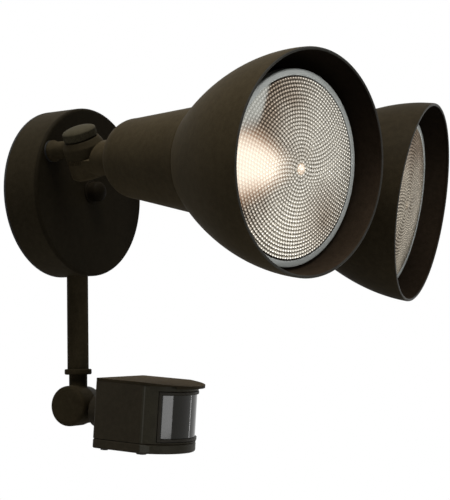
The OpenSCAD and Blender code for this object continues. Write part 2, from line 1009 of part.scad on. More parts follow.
canopy();
gasket();
crossbar();
ground_screw();
centre_rod();
rod_nut();
cap_nut();
arm_locknuts();
arm_washers();
arm(-1);  // arm_left
arm(1);  // arm_right
knob(-1);  // knob_left
knob(1);  // knob_right
holder(-1);  // holder_left
holder(1);  // holder_right
hood(-1);  // hood_left
hood(1);  // hood_right
socket_body(-1);  // socket_body_left
socket_body(1);  // socket_body_right
socket_shell(-1);  // socket_shell_left
socket_shell(1);  // socket_shell_right
socket_contact(-1);  // socket_contact_left
socket_contact(1);  // socket_contact_right
lamp_seal(-1);  // lamp_seal_left
lamp_seal(1);  // lamp_seal_right
lamp_base(-1);  // lamp_base_left
lamp_base(1);  // lamp_base_right
lamp_tip(-1);  // lamp_tip_left
lamp_tip(1);  // lamp_tip_right
lamp_reflector(-1);  // lamp_reflector_left
lamp_reflector(1);  // lamp_reflector_right
lamp_capsule(-1);  // lamp_capsule_left
lamp_capsule(1);  // lamp_capsule_right
lamp_lens(-1);  // lamp_lens_left
lamp_lens(1);  // lamp_lens_right
sensor_tube();
tube_locknut();
sensor_collar();
sensor_neck();
sensor_clamp_screw();
sensor_housing();
sensor_lid();
sensor_cover();
sensor_bezel();
sensor_lens();
sensor_board();
heat_detector();
setting_controls();
dial(-1);  // dial_time
dial(1);  // dial_range
cover_screws();
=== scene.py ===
# %% [markdown]
# # A twin flood light with a motion sensor
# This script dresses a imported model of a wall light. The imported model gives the
# sizes, the places and the moving bodies, so it is loaded first and never changed.
# Each step below adds one piece or one finish around it.

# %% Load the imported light
import math

import bpy
from mathutils import Matrix, Vector


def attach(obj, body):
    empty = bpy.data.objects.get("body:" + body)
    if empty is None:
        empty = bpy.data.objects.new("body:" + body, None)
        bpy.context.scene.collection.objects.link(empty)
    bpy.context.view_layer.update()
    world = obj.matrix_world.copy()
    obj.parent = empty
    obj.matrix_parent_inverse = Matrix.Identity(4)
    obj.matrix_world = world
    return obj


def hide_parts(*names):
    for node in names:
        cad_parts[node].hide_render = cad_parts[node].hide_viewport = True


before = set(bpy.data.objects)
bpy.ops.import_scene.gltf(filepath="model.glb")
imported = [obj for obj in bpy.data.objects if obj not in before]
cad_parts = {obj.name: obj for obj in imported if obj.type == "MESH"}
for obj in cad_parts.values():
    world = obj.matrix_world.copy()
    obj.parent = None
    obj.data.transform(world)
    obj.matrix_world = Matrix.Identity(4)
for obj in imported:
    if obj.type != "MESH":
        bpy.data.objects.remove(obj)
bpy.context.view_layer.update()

# %% [markdown]
# Everything is drawn in millimetres, as on the maker's drawing, and scaled once to
# Blender's metres. The light's own directions are: X to the right, Y into the wall
# and Z up. A place is a matrix that carries a piece from the bench, where it is
# made around the Z axis, to the spot where it belongs.

# %% Places
MM = 0.001
LEFT, RIGHT = -1, 1
SIDE_NAME = {LEFT: "left", RIGHT: "right"}


def turn(degrees, axis):
    """A turn about one of the main axes."""
    return Matrix.Rotation(math.radians(degrees), 4, axis)


def shift(x, y, z):
    """A move, in millimetres."""
    return Matrix.Translation((x * MM, y * MM, z * MM))


# Distances are in millimetres and turns in degrees.
ARM_X = 45
ARM_Z = 25
PIVOT_OUT = 59
ARM_RISE = 7
LEAN = {LEFT: 26.7, RIGHT: 36.5}
SWING = {LEFT: 12.3, RIGHT: 15.3}
DROOP = 1.4
SAG = 1.9
SAG_AT = 71.1
TUBE_OUT = 16.5
SENSOR_PIVOT_Z = -154.2
SENSOR_PAN = 5
SENSOR_TILT = 4.75

wall_place = turn(90, "X")
tube_place = shift(0, -TUBE_OUT, 0)
neck_place = shift(0, -TUBE_OUT, SENSOR_PIVOT_Z) @ turn(SENSOR_PAN, "Z")
head_place = neck_place @ turn(SENSOR_TILT, "X")


def arm_place(side):
    """Z runs along the knuckle, from the arm's own height."""
    return shift(side * ARM_X, -PIVOT_OUT, ARM_Z) @ turn(side * LEAN[side], "Y")


def pivot_place(side):
    """Z runs along the knuckle, from the lamp's height, and turns with the lamp."""
    return arm_place(side) @ shift(0, 0, -ARM_RISE) @ turn(side * SWING[side], "Z")


def lamp_place(side):
    """Z points out of the hood, from the knuckle."""
    return pivot_place(side) @ turn(90 + DROOP, "X")


def bulb_place(side):
    """Z points out of the lamp, which hangs a little low in its socket."""
    return lamp_place(side) @ shift(0, 0, SAG_AT) @ turn(SAG, "X") @ shift(0, 0, -SAG_AT)


print("left lamp points along", [round(v, 3) for v in lamp_place(LEFT).col[2][:3]])

# %% [markdown]
# The photograph was taken from the light's left, a little below its middle, with a
# long lens. The camera stands where the ellipses of the canopy and the two rims
# come out as they do in the picture. Its place is in metres.

# %% Camera
YAW, PITCH, ROLL = (math.radians(angle) for angle in (57.41, 3.75, -0.83))
STAND = (-0.80054, -0.65622, -0.10985)
camera_data = bpy.data.cameras.new("camera")
camera_data.lens = 100.8
camera_data.sensor_width = 36
camera_data.clip_start = 0.01
camera = bpy.data.objects.new("camera", camera_data)
bpy.context.scene.collection.objects.link(camera)
forward = Vector((math.sin(YAW) * math.cos(PITCH), math.cos(YAW) * math.cos(PITCH), math.sin(PITCH)))
level = Vector((math.cos(YAW), -math.sin(YAW), 0))
above = level.cross(forward)
right = math.cos(ROLL) * level + math.sin(ROLL) * above
up = -math.sin(ROLL) * level + math.cos(ROLL) * above
camera.matrix_world = Matrix((
    (right.x, up.x, -forward.x, STAND[0]),
    (right.y, up.y, -forward.y, STAND[1]),
    (right.z, up.z, -forward.z, STAND[2]),
    (0, 0, 0, 1),
))
bpy.context.scene.camera = camera
bpy.context.scene.view_settings.view_transform = "Standard"
print("camera at", [round(v, 3) for v in camera.location])

# %% [markdown]
# A finish is a small network of shader nodes. Written by hand, even "a quarter of
# the noise, plus the edge mask" takes six lines. So a class wraps a node's socket,
# and its operators add the Math nodes: `0.25 * noise + mask` then reads as it is
# meant. A second class holds one material and adds every other kind of node.

# %% Shader maths
class Flow:
    """A socket that can stand in an arithmetic expression."""

    def __init__(self, finish, socket):
        self.finish, self.socket = finish, socket

    def maths(self, operation, *others):
        """One Math node, with this socket first."""
        inputs = dict(enumerate((self, *others)))
        return self.finish.node("ShaderNodeMath", {"operation": operation}, inputs)

    def __add__(self, other):
        return self.maths("ADD", other)

    def __radd__(self, other):
        return self.maths("ADD", other)

    def __sub__(self, other):
        return self.maths("SUBTRACT", other)

    def __rsub__(self, other):
        return self.finish.node("ShaderNodeMath", {"operation": "SUBTRACT"}, {0: other, 1: self})

    def __mul__(self, other):
        return self.maths("MULTIPLY", other)

    def __rmul__(self, other):
        return self.maths("MULTIPLY", other)

    def __truediv__(self, other):
        return self.maths("DIVIDE", other)

    def __pow__(self, other):
        return self.maths("POWER", other)

    def size(self):
        """The number without its sign."""
        return self.maths("ABSOLUTE")

    def clamp(self):
        """The number, kept from 0 to 1."""
        return self.finish.node("ShaderNodeClamp", {}, {0: self})

    def between(self, low, high):
        """0 below low, 1 above high, and a soft step in between."""
        return self.finish.node(
            "ShaderNodeMapRange", {"interpolation_type": "SMOOTHSTEP"},
            {"Value": self, "From Min": low, "From Max": high, "To Min": 0.0, "To Max": 1.0})


class Finish:
    """One material. node() adds any node and gives back one of its outputs."""

    def __init__(self, name):
        self.material = bpy.data.materials.new(name)
        self.material.use_nodes = True
        self.tree = self.material.node_tree
        self.tree.nodes.clear()

    def node(self, kind, settings=None, inputs=None, output=0):
        made = self.tree.nodes.new(kind)
        for key, value in (settings or {}).items():
            setattr(made, key, value)
        for key, value in (inputs or {}).items():
            if isinstance(value, Flow):
                self.tree.links.new(value.socket, made.inputs[key])
            elif isinstance(value, tuple) and len(value) == 3 and made.inputs[key].type == "RGBA":
                made.inputs[key].default_value = (*value, 1)
            else:
                made.inputs[key].default_value = value
        return Flow(self, made.outputs[output]) if made.outputs else made

    def place(self, rotation=None, location=None):
        """The point on the piece, in metres, turned by a Mapping node if asked."""
        here = self.node("ShaderNodeTexCoord", output="Object")
        if rotation is None:
            return here
        return self.node("ShaderNodeMapping", {"vector_type": "TEXTURE"},
                         {"Vector": here, "Location": location, "Rotation": rotation})

    def split(self, where):
        """The point's three numbers, in millimetres."""
        parts = self.tree.nodes.new("ShaderNodeSeparateXYZ")
        self.tree.links.new(where.socket, parts.inputs[0])
        return [Flow(self, output) * 1000.0 for output in parts.outputs]

    def noise(self, where, scale, detail=2.0, roughness=0.5):
        return self.node("ShaderNodeTexNoise", {}, {
            "Vector": where, "Scale": scale, "Detail": detail, "Roughness": roughness})

    def mix(self, share, first, second):
        """From the first colour to the second."""
        return self.node("ShaderNodeMix", {"data_type": "RGBA"}, {0: share, 6: first, 7: second}, 2)

    def bump(self, height, strength, distance):
        return self.node("ShaderNodeBump", {}, {
            "Height": height, "Strength": strength, "Distance": distance})

    def surface(self, **sockets):
        """Ends the network in one Principled shader; names use _ for a space."""
        shader = self.node("ShaderNodeBsdfPrincipled", {},
                           {key.replace("_", " "): value for key, value in sockets.items()})
        self.node("ShaderNodeOutputMaterial", {}, {"Surface": shader})
        return self.material


def times(colour, factor):
    """A colour made darker or lighter, or tinted if the factor is a colour too."""
    factors = factor if isinstance(factor, tuple) else (factor,) * 3
    return tuple(part * share for part, share in zip(colour, factors))


print("shader maths ready")

# %% [markdown]
# The housing is cast and spun aluminium with a powder coat. The powder melts into
# a skin with fine grains, so the coat breaks up every highlight: it is rough, its
# grains stand up by a few hundredths of a millimetre, and the brown is a little
# lighter where the powder is thin. Three layers of noise do this, each at the
# size that the real coat shows. The sensor's plastic is moulded with the same
# grain. A coat may carry painted shade, darker across one axis: the hoods inside
# towards their tops, and the canopy on its face, which lies in the shade of the lamps.

# %% The bronze powder coat
def powder_coat(name, dark, light, rough, shine=0.015, shade=None):
    """shade is painted shade: an axis, where the shade starts and is full, and what is left there."""
    finish = Finish(name)
    where = finish.place()
    grain = finish.noise(where, 1300.0, 3.0, 0.6)
    cloud = finish.noise(where, 260.0, 2.0)
    drift = finish.noise(where, 24.0, 2.0)
    share = (0.45 * grain + 0.35 * cloud + 0.35 * drift).between(0.36, 0.80)
    height = grain + 0.6 * cloud
    colour = finish.mix(share, dark, light)
    if shade:
        axis, start, end, left_over = shade
        shaded = finish.mix(share, times(dark, left_over), times(light, left_over))
        colour = finish.mix(finish.split(where)[axis].between(start, end), colour, shaded)
    return finish.surface(
        Base_Color=colour,
        Roughness=rough + 0.14 * grain,
        Specular_IOR_Level=shine,
        Normal=finish.bump(height, 0.30, 0.00020))


Y_AXIS, Z_AXIS = 1, 2
BRONZE = powder_coat("bronze_coat", (0.0230, 0.0180, 0.0098), (0.0390, 0.0310, 0.0180), 0.55)
# The canopy's coat is a darker copy of the bronze, painted shade, and darker still on its face.
CANOPY_SHADED_COAT = powder_coat("canopy_painted_shade", (0.0185, 0.0148, 0.0085), (0.0300, 0.0242, 0.0148), 0.55,
                          shade=(Y_AXIS, -26.5, -28.5, 0.55))
# The knobs' coat is a lighter copy of the bronze: painted light where their tops catch the lamp.
KNOB_LIT_COAT = powder_coat("knob_painted_light", (0.0330, 0.0290, 0.0185), (0.0540, 0.0475, 0.0305), 0.52)
# The cap nut's coat is a much darker copy of the bronze: painted shade under the lamps.
NUT_SHADED_COAT = powder_coat("cap_nut_painted_shade", (0.0060, 0.0046, 0.0028), (0.0110, 0.0086, 0.0052), 0.50)
# The coat of the hoods and holders is a lighter copy of the bronze: painted light.
HOOD_LIT_COAT = powder_coat("hood_coat", (0.0330, 0.0255, 0.0140), (0.0520, 0.0405, 0.0230), 0.52)
# The right hood's coat is a darker copy: painted shade from the left hood.
RIGHT_HOOD_SHADED_COAT = powder_coat("right_hood_painted_shade", (0.0180, 0.0139, 0.0079), (0.0305, 0.0238, 0.0136), 0.52)
# Inside the hoods, the lamp's warm light is painted lighter low down and painted shade darkens the tops.
INSIDE_OF_HOOD_LIT_AND_SHADED = powder_coat("hood_inside_painted_light_and_shade", (0.0370, 0.0265, 0.0175), (0.0640, 0.0450, 0.0310), 0.60,
                          shade=(Z_AXIS, -35, 50, 0.18))
# The rolled rim is painted paler: a painted highlight along the lip.
RIM_HIGHLIGHT_COAT = powder_coat("rolled_rim_painted_highlight", (0.0330, 0.0315, 0.0270), (0.0540, 0.0520, 0.0460), 0.38, 0.07)
# The lid's top is painted lighter, painted light, and its edges and lip darker, painted shade.
LID_TOP_LIGHT = powder_coat("lid_top_painted_light", (0.0400, 0.0290, 0.0150), (0.0740, 0.0545, 0.0305), 0.60, 0.01)
LID_SIDE_SHADE = powder_coat("lid_side_painted_shade", (0.0190, 0.0148, 0.0086), (0.0300, 0.0238, 0.0142), 0.50, 0.03)
SENSOR_COAT = powder_coat(
    "sensor_shell_plastic", (0.0215, 0.0176, 0.0110), (0.0335, 0.0275, 0.0178), 0.40, 0.06)
# The sensor's front coat is a lighter, greener copy: painted light.
FRONT_LIT_PLASTIC = powder_coat(
    "sensor_front_painted_light", (0.0250, 0.0225, 0.0155), (0.0390, 0.0355, 0.0250), 0.40, 0.06)
# The sensor's corner coat is a pale painted highlight.
EDGE_HIGHLIGHT_PLASTIC = powder_coat(
    "sensor_edge_painted_highlight", (0.0420, 0.0400, 0.0320), (0.0660, 0.0640, 0.0530), 0.40, 0.08)
print("coats:", BRONZE.name, INSIDE_OF_HOOD_LIT_AND_SHADED.name, SENSOR_COAT.name, NUT_SHADED_COAT.name)

# %% [markdown]
# The parts behind the canopy and inside the lamps are bare: zinc-plated steel,
# brass, rubber, porcelain and a green circuit board. They are seldom seen, but
# each gets a real finish, because the back of the light is open.

# %% Bare metals, rubber and the rest
def bare_metal(name, dark, light, rough, brush=(1, 1, 30)):
    """Metal with fine lines; brush says how close they lie along each axis."""
    finish = Finish(name)
    where = finish.place()
    stretched = finish.node("ShaderNodeVectorMath", {"operation": "MULTIPLY"}, {0: where, 1: brush})
    lines = finish.noise(stretched, 60.0, 4.0, 0.6)
    blotch = finish.noise(where, 110.0, 3.0)
    share = (0.5 * lines + 0.6 * blotch).between(0.35, 0.8)
    return finish.surface(
        Base_Color=finish.mix(share, dark, light),
        Metallic=1.0,
        Roughness=rough + 0.18 * lines,
        Normal=finish.bump(lines, 0.12, 0.00008))


def moulded(name, dark, light, rough, grain_size=900.0, grain_height=0.00008, coat=0.0, shine=0.3):
    """Plastic, rubber or a glaze, with a fine grain and a cloudy tone."""
    finish = Finish(name)
    where = finish.place()
    grain = finish.noise(where, grain_size, 2.0)
    cloud = finish.noise(where, 45.0, 3.0)
    return finish.surface(
        Base_Color=finish.mix((0.5 * grain + 0.6 * cloud).between(0.3, 0.8), dark, light),
        Roughness=rough + 0.12 * grain,
        Specular_IOR_Level=shine,
        Coat_Weight=coat,
        Normal=finish.bump(grain, 0.3, grain_height))


ZINC = bare_metal("zinc_plate", (0.42, 0.43, 0.43), (0.66, 0.66, 0.64), 0.30)
BRASS = bare_metal("brass", (0.52, 0.38, 0.15), (0.74, 0.58, 0.28), 0.26)
LAMP_BASE = bare_metal("lamp_base_aluminium", (0.58, 0.58, 0.58), (0.80, 0.80, 0.79), 0.24)
GREEN_COAT = moulded("green_screw_coat", (0.010, 0.090, 0.025), (0.020, 0.180, 0.050), 0.35)
FOAM = moulded("black_foam", (0.012, 0.012, 0.012), (0.030, 0.030, 0.029), 0.80, 1500.0, 0.0003)
RUBBER = moulded("seal_rubber", (0.007, 0.007, 0.007), (0.014, 0.014, 0.013), 0.80)
PORCELAIN = moulded(
    "glazed_porcelain", (0.62, 0.59, 0.52), (0.74, 0.71, 0.65), 0.16, 500.0, 0.00002, 0.5)
BLACK_GLASS = moulded(
    "black_insulator", (0.010, 0.010, 0.011), (0.020, 0.020, 0.022), 0.12, 500.0, 0.00002, 0.3)
BOARD = moulded(
    "circuit_board", (0.008, 0.070, 0.028), (0.016, 0.120, 0.050), 0.32, 700.0, 0.00004, 0.3)
BLUE = moulded("blue_control", (0.020, 0.060, 0.240), (0.030, 0.090, 0.330), 0.30)
BLACK_PLASTIC = moulded("black_plastic", (0.010, 0.010, 0.010), (0.022, 0.021, 0.020), 0.42)
BEZEL_PLASTIC = moulded(
    "window_frame_plastic", (0.018, 0.016, 0.012), (0.032, 0.028, 0.021), 0.42, shine=0.08)
print("finishes so far:", len(bpy.data.materials))

# %% [markdown]
# The lamp is a wide reflector lamp. Behind its front glass lies a silvered bowl,
# and the front glass is pressed with a field of small beads that spread the beam.
# A ring of plain glass, a greenish grey, is left around the beads. The sensor's
# window is as smooth as glass too, so one recipe serves for all of them.

# %% Glass and silver
def silvered(name):
    """The bowl is silvered inside; its back, the only side ever seen, is painted dark grey as painted
    shade.
    """
    finish = Finish(name)
    where = finish.place()
    ripple = finish.noise(where, 90.0, 2.0)
    return finish.surface(
        Base_Color=finish.mix(ripple, (0.045, 0.042, 0.038), (0.085, 0.080, 0.072)),
        Metallic=0.6,
        Roughness=0.42 + 0.12 * ripple,
        Normal=finish.bump(ripple, 0.15, 0.0003))


def smooth(name, tint, rough, alpha, shine=0.5):
    """Glass or polished plastic; alpha says how much of it hides what is behind."""
    finish = Finish(name)
    where = finish.place()
    ripple = finish.noise(where, 70.0, 2.0)
    return finish.surface(
        Base_Color=finish.mix(ripple, tint, times(tint, 1.12)),
        Roughness=rough + 0.04 * ripple,
        Alpha=alpha,
        Specular_IOR_Level=shine,
        Normal=finish.bump(ripple, 0.03, 0.0001))


BOWL_BACK_SHADED = silvered("bowl_back_painted_shade")
RING_GLASS = smooth("plain_ring_glass", (0.66, 0.700, 0.675), 0.10, 1.0)
CAPSULE_GLASS = smooth("capsule_glass", (0.80, 0.78, 0.72), 0.04, 0.5)
WINDOW_GLOSS = smooth("dark_window", (0.0085, 0.0075, 0.0030), 0.05, 1.0, 0.20)
print("glass ready")

# %% [markdown]
# The photograph shows the left lamp switched on: a white-hot wedge lies in the
# beads, from the left edge to the small nub in the middle, with a warm fringe. It
# stays where it is when the camera moves, so it is painted as light of the glass
# itself. A Mapping node brings each point to the lamp's own axes, where the wedge is
# easy to write down: how far along its line a point lies, and how far beside it.
# Above the wedge a painted reflection, a pale patch, lies over the beads of
# the left lamp. The rest is clear, with brown patches painted where the bowl shows
# through, more of them near the top. The beads are painted lighter towards the
# lower left, as painted light. The right lamp's glass is painted darker and browner,
# as painted shade, with a faint painted glow.

# %% Beaded glass with the glow
GLOW_TO = Vector((-49.0, 23.0)).normalized()
PALE_TO = Vector((-0.5, -0.866))
BROWN_AT = Vector((14.0, -40.0))
WHITE_HOT = (0.85, 0.76, 0.64)
NUB_LIGHT = (0.50, 0.37, 0.27)
REFLECTION_GLOW = (0.17, 0.17, 0.155)
REFLECTION_GREY = (0.44, 0.44, 0.41)
BORDER_BROWN = (0.045, 0.032, 0.022)


def beaded(name, side, dark, light, metal, rough, glow, ember):
    """One lamp's glass: glow is how strong its wedge is, ember the wedge's fringe."""
    finish = Finish(name)
    place = bulb_place(side)
    lamp_point = finish.place(rotation=tuple(place.to_euler()), location=tuple(place.translation))
    x, y, _ = finish.split(lamp_point)
    far = (x * x + y * y) ** 0.5
    patches = finish.noise(lamp_point, 45.0, 2.0)

    along = x * GLOW_TO.x + y * GLOW_TO.y
    beside = (x * -GLOW_TO.y + y * GLOW_TO.x).size()
    wedge = 1.0 - beside / (0.36 * along.size() + 3.0)
    hot = wedge.between(-0.15, 0.75) * along.between(4.0, 44.0)
    fringe = wedge.between(-0.6, 0.2) * along.between(2.0, 36.0)
    nub = 1.0 - far.between(2.7, 3.8)
    # A painted reflection: a pale patch over the left lamp's beads.
    reflection_patch = (y - x).between(59.0, 64.0) * y.between(32.0, 46.0) * (1.0 if side == LEFT else 0.0)
    warm = finish.mix(hot, times(ember, glow), times(WHITE_HOT, glow))
    light_out = finish.mix((0.7 * fringe + hot).clamp(), (0.0, 0.0, 0.0), warm)
    light_out = finish.mix(nub, light_out, times(NUB_LIGHT, glow))
    light_out = finish.mix(reflection_patch, light_out, times(REFLECTION_GLOW, glow))

    right_of, over = x - BROWN_AT.x, y - BROWN_AT.y
    lower = (1.0 - (right_of * right_of + over * over) ** 0.5 / 30.0).clamp()
    brown = (((y - x) * 0.009 + 0.55 * patches).between(0.20, 0.85) + 0.8 * lower).clamp()
    # Painted light: the beads are lighter towards the lower left.
    bright = (x * PALE_TO.x + y * PALE_TO.y).between(6.0, 44.0)
    colour = finish.mix(bright, light, times(light, 1.40))
    colour = finish.mix(brown, colour, dark)
    colour = finish.mix(far.between(54.3, 55.0), colour, BORDER_BROWN)
    colour = finish.mix(reflection_patch, colour, REFLECTION_GREY)
    return finish.surface(
        Base_Color=colour,
        Metallic=metal,
        Roughness=rough + 0.10 * patches + 0.35 * reflection_patch,
        Emission_Color=light_out,
        Emission_Strength=1.0,
        Normal=finish.bump(patches, 0.05, 0.0004))


BEADS, BED = {}, {}
# The right lamp's glass is made darker and browner by its tint, painted shade, and has a faint painted
# glow.
for side, glow, tint in ((LEFT, 1.0, 1.0), (RIGHT, 0.10, (0.47, 0.435, 0.385))):
    tag = SIDE_NAME[side]
    bead_dark, bead_light = times((0.34, 0.275, 0.212), tint), times((0.66, 0.630, 0.560), tint)
    bed_dark, bed_light = times((0.062, 0.043, 0.029), tint), times((0.135, 0.116, 0.092), tint)
    BEADS[side] = beaded("glass_beads_" + tag, side, bead_dark, bead_light, 0.90, 0.20, glow,
                         (0.30, 0.235, 0.180))
    BED[side] = beaded("bead_bed_" + tag, side, bed_dark, bed_light, 0.70, 0.40, glow,
                       (0.34, 0.150, 0.070))
print("beaded glass for both lamps")

# %% [markdown]
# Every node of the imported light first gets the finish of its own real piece. The
# hidden ones keep it as it is. The seen ones are covered by a modelled piece below,
# and would still look right without it.

# %% Give each node its first finish
FIRST_FINISH = {
    BRONZE: "canopy arm_left arm_right knob_left knob_right holder_left holder_right "
            "hood_left hood_right sensor_tube sensor_collar sensor_neck",
    # The cap nut and the screws take the darker copy, painted shade.
    NUT_SHADED_COAT: "cap_nut sensor_clamp_screw cover_screws",
    FOAM: "gasket",
    RUBBER: "arm_washers lamp_seal_left lamp_seal_right",
    ZINC: "crossbar rod_nut arm_locknuts tube_locknut heat_detector",
    GREEN_COAT: "ground_screw",
    BRASS: "centre_rod socket_shell_left socket_shell_right socket_contact_left socket_contact_right",
    PORCELAIN: "socket_body_left socket_body_right",
    LAMP_BASE: "lamp_base_left lamp_base_right",
    BLACK_GLASS: "lamp_tip_left lamp_tip_right",
    # The bowls' backs take painted shade.
    BOWL_BACK_SHADED: "lamp_reflector_left lamp_reflector_right",
    CAPSULE_GLASS: "lamp_capsule_left lamp_capsule_right",
    RING_GLASS: "lamp_lens_left lamp_lens_right",
    SENSOR_COAT: "sensor_housing sensor_lid sensor_cover",
    BEZEL_PLASTIC: "sensor_bezel",
    WINDOW_GLOSS: "sensor_lens",
    BOARD: "sensor_board",
    BLUE: "setting_controls",
    BLACK_PLASTIC: "dial_time dial_range",
}
for finish_used, names in FIRST_FINISH.items():
    for name in names.split():
        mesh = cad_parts[name].data
        mesh.materials.clear()
        mesh.materials.append(finish_used)
print("finished nodes:", sum(len(names.split()) for names in FIRST_FINISH.values()))

# %% [markdown]
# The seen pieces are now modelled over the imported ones. A few bench tools come
# first. Each is the same short list of steps that one would do by hand: draw a
# line of points, spin it round, stamp it upwards, cut one shape out of another, or
# melt shapes together as a casting's fillets do.

# %% Bench tools
def quiet():
    """Object mode, with nothing selected."""
    if bpy.context.mode != "OBJECT":
        bpy.ops.object.mode_set(mode="OBJECT")
    bpy.ops.object.select_all(action="DESELECT")


def pick(*pieces):
    """Selects the pieces, with the first one active."""
    quiet()
    for piece in pieces:
        piece.select_set(True)
    bpy.context.view_layer.objects.active = pieces[0]
    return pieces[0]


def tidy():
    """Merges the doubles and turns all faces outwards, in edit mode."""
    bpy.ops.mesh.select_all(action="SELECT")
    bpy.ops.mesh.remove_doubles(threshold=MM / 100)
    bpy.ops.mesh.normals_make_consistent(inside=False)


def drawn(name, points):
    """A line through the points: one vertex, extruded from point to point."""
    quiet()
    bpy.ops.mesh.primitive_plane_add(size=MM)
    piece = bpy.context.object
    piece.name = piece.data.name = name
    bpy.ops.object.mode_set(mode="EDIT")
    bpy.ops.mesh.select_all(action="SELECT")
    bpy.ops.mesh.merge(type="CENTER")
    here = Vector((0, 0, 0))
    for number, point in enumerate(points):
        step = Vector(point) * MM - here
        if number == 0:
            bpy.ops.transform.translate(value=step)
        else:
            bpy.ops.mesh.extrude_region_move(TRANSFORM_OT_translate={"value": step})
        here = here + step
    return piece


def turned(name, outline, steps=96):
    """A lathe shape around Z from (radius, height) points."""
    piece = drawn(name, [(radius, 0, height) for radius, height in outline])
    bpy.ops.mesh.select_all(action="SELECT")
    bpy.ops.mesh.spin(steps=steps, angle=math.tau, center=(0, 0, 0), axis=(0, 0, 1))
    tidy()
    quiet()
    return piece


def stamped(name, outline, low, high):
    """A flat outline, filled and pulled up."""
    piece = drawn(name, [(x, y, low) for x, y in [*outline, outline[0]]])
    bpy.ops.mesh.select_all(action="SELECT")
    bpy.ops.mesh.remove_doubles(threshold=MM / 100)
    bpy.ops.mesh.select_all(action="SELECT")
    bpy.ops.mesh.edge_face_add()
    bpy.ops.mesh.extrude_region_move(TRANSFORM_OT_translate={"value": (0, 0, (high - low) * MM)})
    tidy()
    quiet()
    return piece


def put(piece, place):
    """Carries a piece to its place, which goes into its mesh."""
    pick(piece)
    piece.matrix_world = place
    bpy.ops.object.transform_apply(location=True, rotation=True, scale=True)
    return piece


def rod(radius, low, high, place=Matrix(), steps=64):
    """A cutter or a core: a cylinder from low to high."""
    quiet()
    bpy.ops.mesh.primitive_cylinder_add(vertices=steps, radius=radius * MM, depth=(high - low) * MM)
    return put(bpy.context.object, place @ shift(0, 0, (low + high) / 2))


def block(x, y, z, place=Matrix()):
    """A box between pairs of numbers."""
    quiet()
    bpy.ops.mesh.primitive_cube_add(size=MM)
    sides = Matrix.Diagonal((x[1] - x[0], y[1] - y[0], z[1] - z[0], 1))
    return put(bpy.context.object, place @ shift(sum(x) / 2, sum(y) / 2, sum(z) / 2) @ sides)


def finished(piece, kind, **settings):
    """Adds one modifier and applies it."""
    pick(piece)
    step = piece.modifiers.new("step", kind)
    for key, value in settings.items():
        setattr(step, key, value)
    bpy.ops.object.modifier_apply(modifier="step")
    return piece


def carve(piece, *tools):
    """Cuts the tools out of the piece, one by one."""
    for tool in tools:
        finished(piece, "BOOLEAN", operation="DIFFERENCE", solver="EXACT", object=tool)
        bpy.data.objects.remove(tool)
    return piece


def joined(name, *parts):
    """One object of several, under a name of its own."""
    first = pick(*parts)
    if len(parts) > 1:
        bpy.ops.object.join()
    first.name = first.data.name = name
    return first


def melted(name, grain, rounds, *parts):
    """Fuses closed shapes and softens their corners, as in a casting."""
    piece = joined(name, *parts)
    finished(piece, "REMESH", mode="VOXEL", voxel_size=grain * MM)
    return finished(piece, "SMOOTH", factor=0.5, iterations=rounds)


def bevelled(piece, width, angle=35, segments=2):
    """Rounds the edges that are sharper than an angle."""
    return finished(piece, "BEVEL", width=width * MM, segments=segments, limit_method="ANGLE",
                    angle_limit=math.radians(angle))


def copied(piece, name):
    """A copy of the piece, under a name of its own."""
    pick(piece)
    bpy.ops.object.duplicate()
    made = bpy.context.object
    made.name = made.data.name = name
    return made


def fit(piece, body, slot, finish, *nodes, angle=35):
    """Sets the body and hides the replaced nodes; with a finish of None the piece keeps its own. The slot
    is not used.
    """
    pick(piece)
    bpy.ops.object.shade_smooth_by_angle(angle=math.radians(angle))
    finished(piece, "WEIGHTED_NORMAL", weight=80, keep_sharp=True)
    if finish is not None:
        piece.data.materials.clear()
        piece.data.materials.append(finish)
    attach(piece, body)
    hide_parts(*nodes)
    print(piece.name, "on", body, len(piece.data.polygons), "faces")
    return piece


def parted(piece, finishes, which):
    """Several finishes on one piece: which(face) names the finish of a face."""
    piece.data.materials.clear()
    for finish in finishes:
        piece.data.materials.append(finish)
    for face in piece.data.polygons:
        face.material_index = finishes.index(which(face))
    return piece


def around(radius, angle, rise=None):
    """A point on a circle, or on an ellipse with another rise."""
    return (radius * math.cos(math.radians(angle)),
            (radius if rise is None else rise) * math.sin(math.radians(angle)))


def arc(centre, radius, start, end, steps):
    """Points on a circle, from one angle to another, in degrees."""
    points = [around(radius, start + (end - start) * i / steps) for i in range(steps + 1)]
    return [(centre[0] + x, centre[1] + y) for x, y in points]


def dome_line(radius, base, rise, angles):
    """The profile of a domed head, from its edge towards the axis."""
    return [(x, base + y) for x, y in (around(radius, angle, rise) for angle in angles)]


def soft(outline, sizes, steps=5):
    """Rounds the corners that have a size, each with a short curve."""
    points = []
    count = len(outline)
    for i, corner in enumerate(outline):
        size = sizes.get(i, 0)
        if not size:
            points.append(corner)
            continue
        here = Vector(corner)
        back = Vector(outline[i - 1]) - here
        ahead = Vector(outline[(i + 1) % count]) - here
        start = here + back.normalized() * min(size, back.length / 2)
        end = here + ahead.normalized() * min(size, ahead.length / 2)
        for k in range(steps + 1):
            t = k / steps
            points.append(tuple((1 - t) ** 2 * start + 2 * t * (1 - t) * here + t ** 2 * end))
    return points


print("bench ready")

# %% [markdown]
# The canopy is a spun aluminium cup. A lathe shape is the quick and true way to
# make it: half of its section is drawn once and spun. The edge between side and
# face is tight, which gives the thin light line in the photograph. The holes for
# the two arms and the sensor's tube are cut afterwards, as in the workshop.

